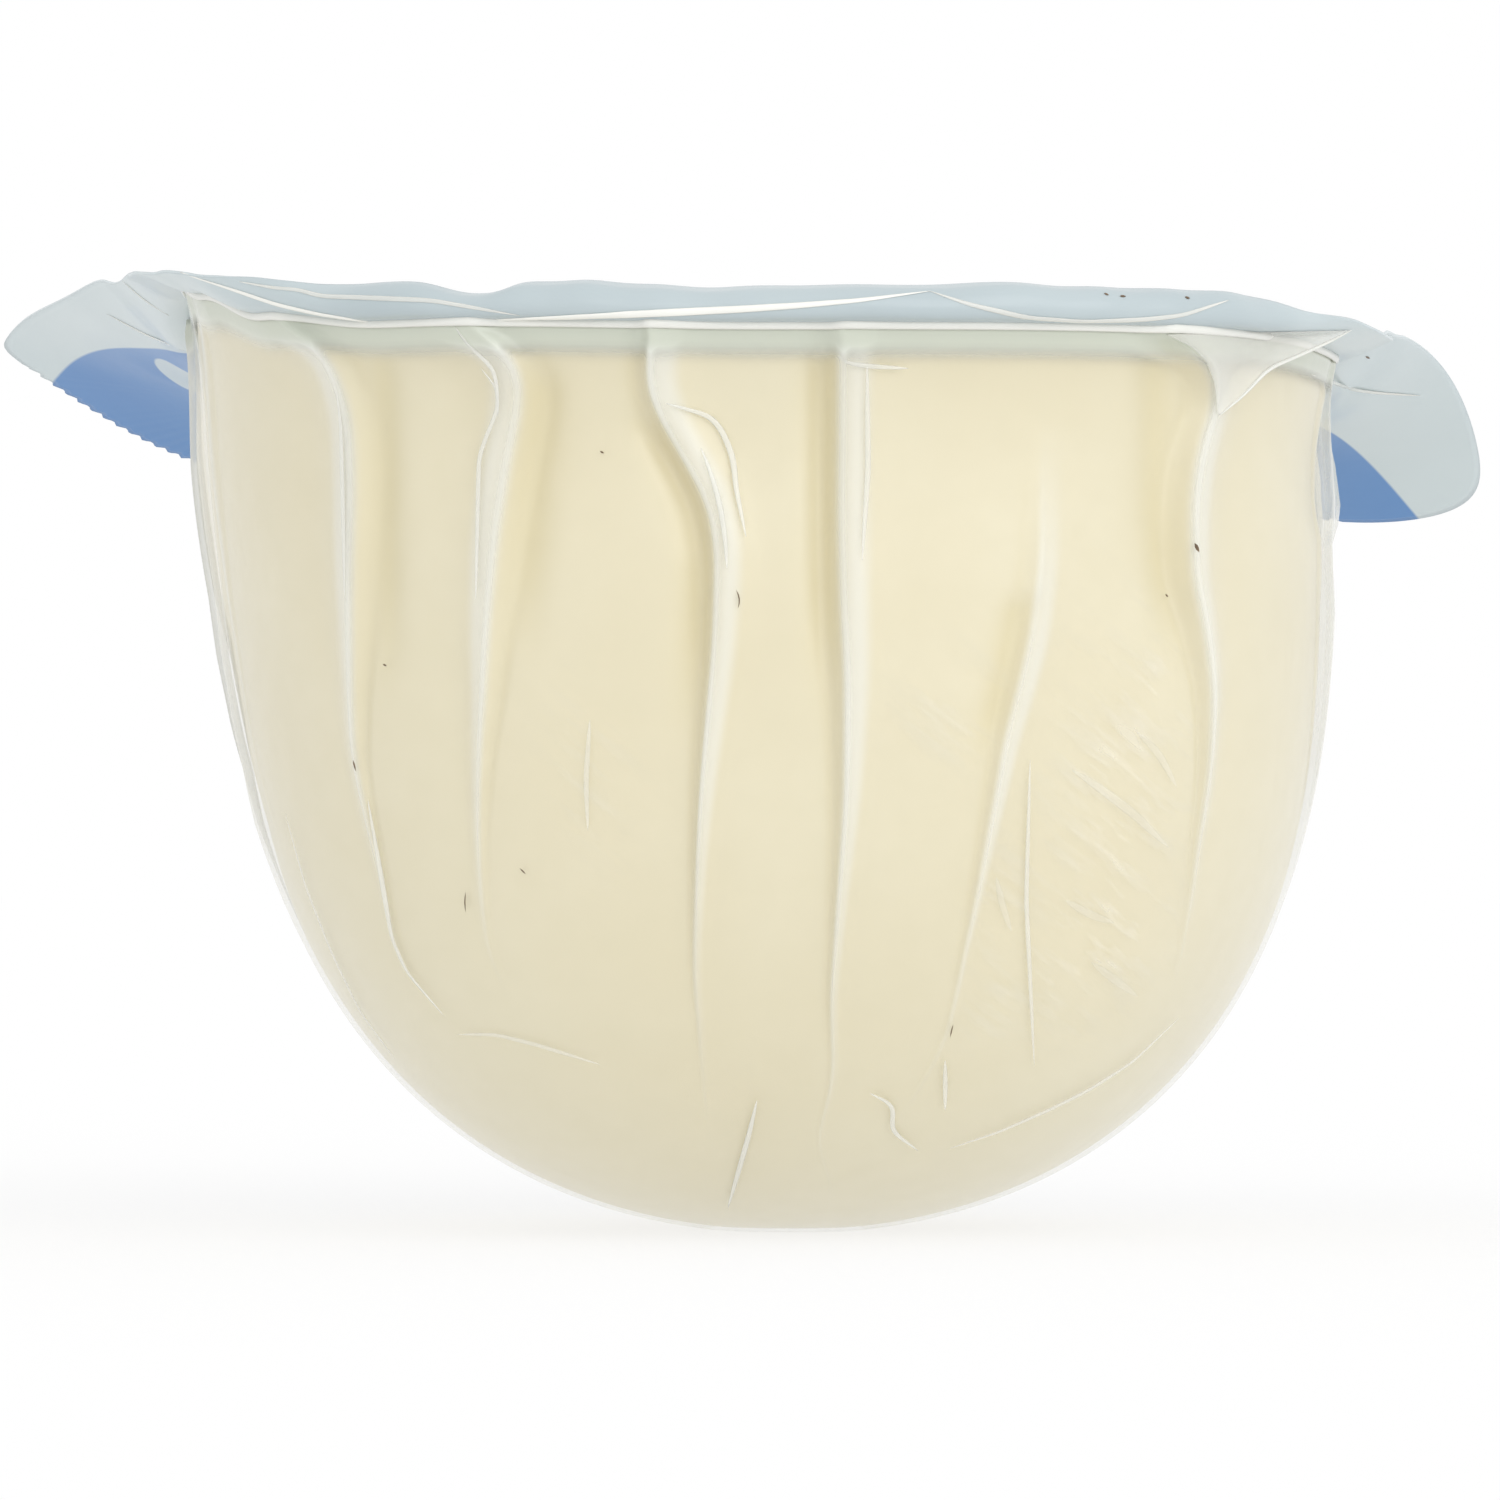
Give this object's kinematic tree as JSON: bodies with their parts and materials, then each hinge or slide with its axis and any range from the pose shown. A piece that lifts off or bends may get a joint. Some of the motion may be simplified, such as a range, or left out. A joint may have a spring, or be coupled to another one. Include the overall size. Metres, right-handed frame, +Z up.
{
  "type": "vacuum-packed scamorza cheese",
  "caption": "Dome of smooth cream cheese in clear shrunken film with upright pleats, under a flat printed lid film whose wide flange curls; packed food for a fridge, shop shelf or shopping bag.",
  "frame": {"origin": "middle of the flat spot that the dome rests on", "axes": "+Z up to the lid, +X to the right of the shown side, -Y towards the shown side"},
  "size_m": [0.12, 0.1024, 0.0722],
  "materials": {
    "cheese": "smooth cream stretched-curd cheese, faintly mottled, seen through clear film",
    "clear_film": "clear glossy shrink film, milky along its folds",
    "printed_film": "glossy lid film, printed pale grey-blue with a field of mid blue"
  },
  "bodies": {
    "root": {"scamorza_in_film": "cheese", "lid_film": "printed_film"}
  },
  "joints": []
}
